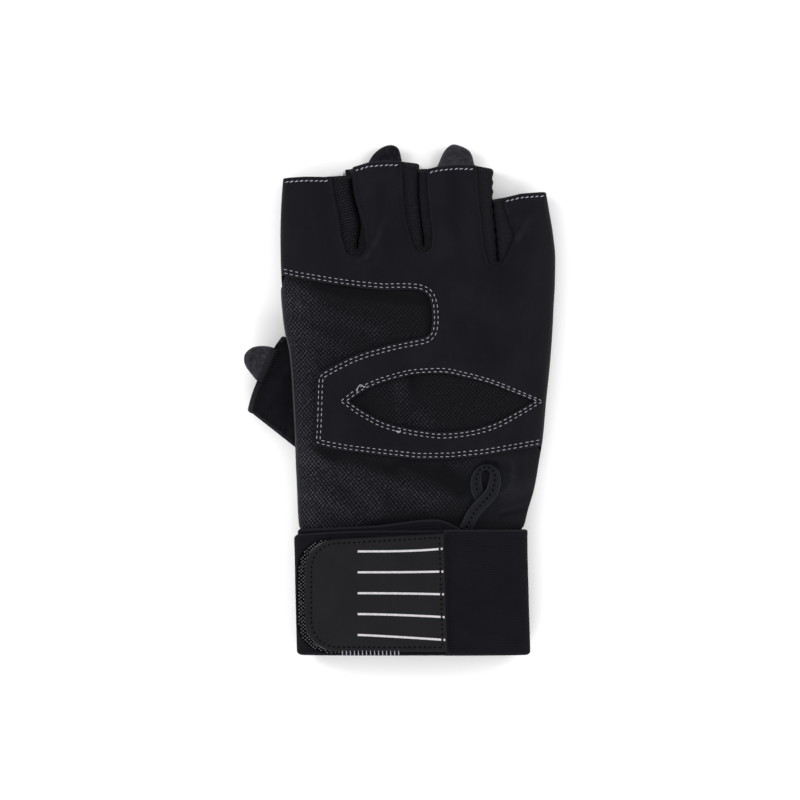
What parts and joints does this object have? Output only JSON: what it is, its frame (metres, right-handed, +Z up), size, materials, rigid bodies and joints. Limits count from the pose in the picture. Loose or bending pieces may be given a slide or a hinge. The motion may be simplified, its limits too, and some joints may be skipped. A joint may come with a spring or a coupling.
{
  "type": "weightlifting glove",
  "caption": "Fingerless weightlifting glove with a leather palm overlay over mesh, an eye-shaped window, pull tabs and a wide elastic wrist wrap that ends in a striped flap.",
  "frame": {"origin": "middle of the glove's box in plan, on the surface that it lies on", "axes": "+Z up out of the leather face, +Y from the wrist to the fingers, +X away from the thumb"},
  "size_m": [0.1236, 0.2038, 0.0246],
  "materials": {
    "leather": "smooth, slightly glossy",
    "mesh": "open knitted mesh",
    "back_fabric": "plain knit",
    "suede": "matt suede",
    "elastic": "ribbed elastic",
    "hook_tape": "textured fastening tape",
    "flap_leather": "smooth",
    "print": "raised print"
  },
  "bodies": {
    "root": {"palm_mesh": "mesh", "palm_leather": "leather", "back_panel": "back_fabric", "gusset_index_middle": "mesh", "gusset_middle_ring": "mesh", "gusset_ring_little": "mesh", "thumb_sleeve": "back_fabric", "middle_tab": "suede", "ring_tab": "suede", "thumb_tab": "suede", "wrist_wrap": "elastic", "hook_patch": "hook_tape", "strap_flap": "flap_leather", "stripe_1": "print", "stripe_2": "print", "stripe_3": "print", "stripe_4": "print", "stripe_5": "print", "pull_loop": "flap_leather"}
  },
  "joints": []
}
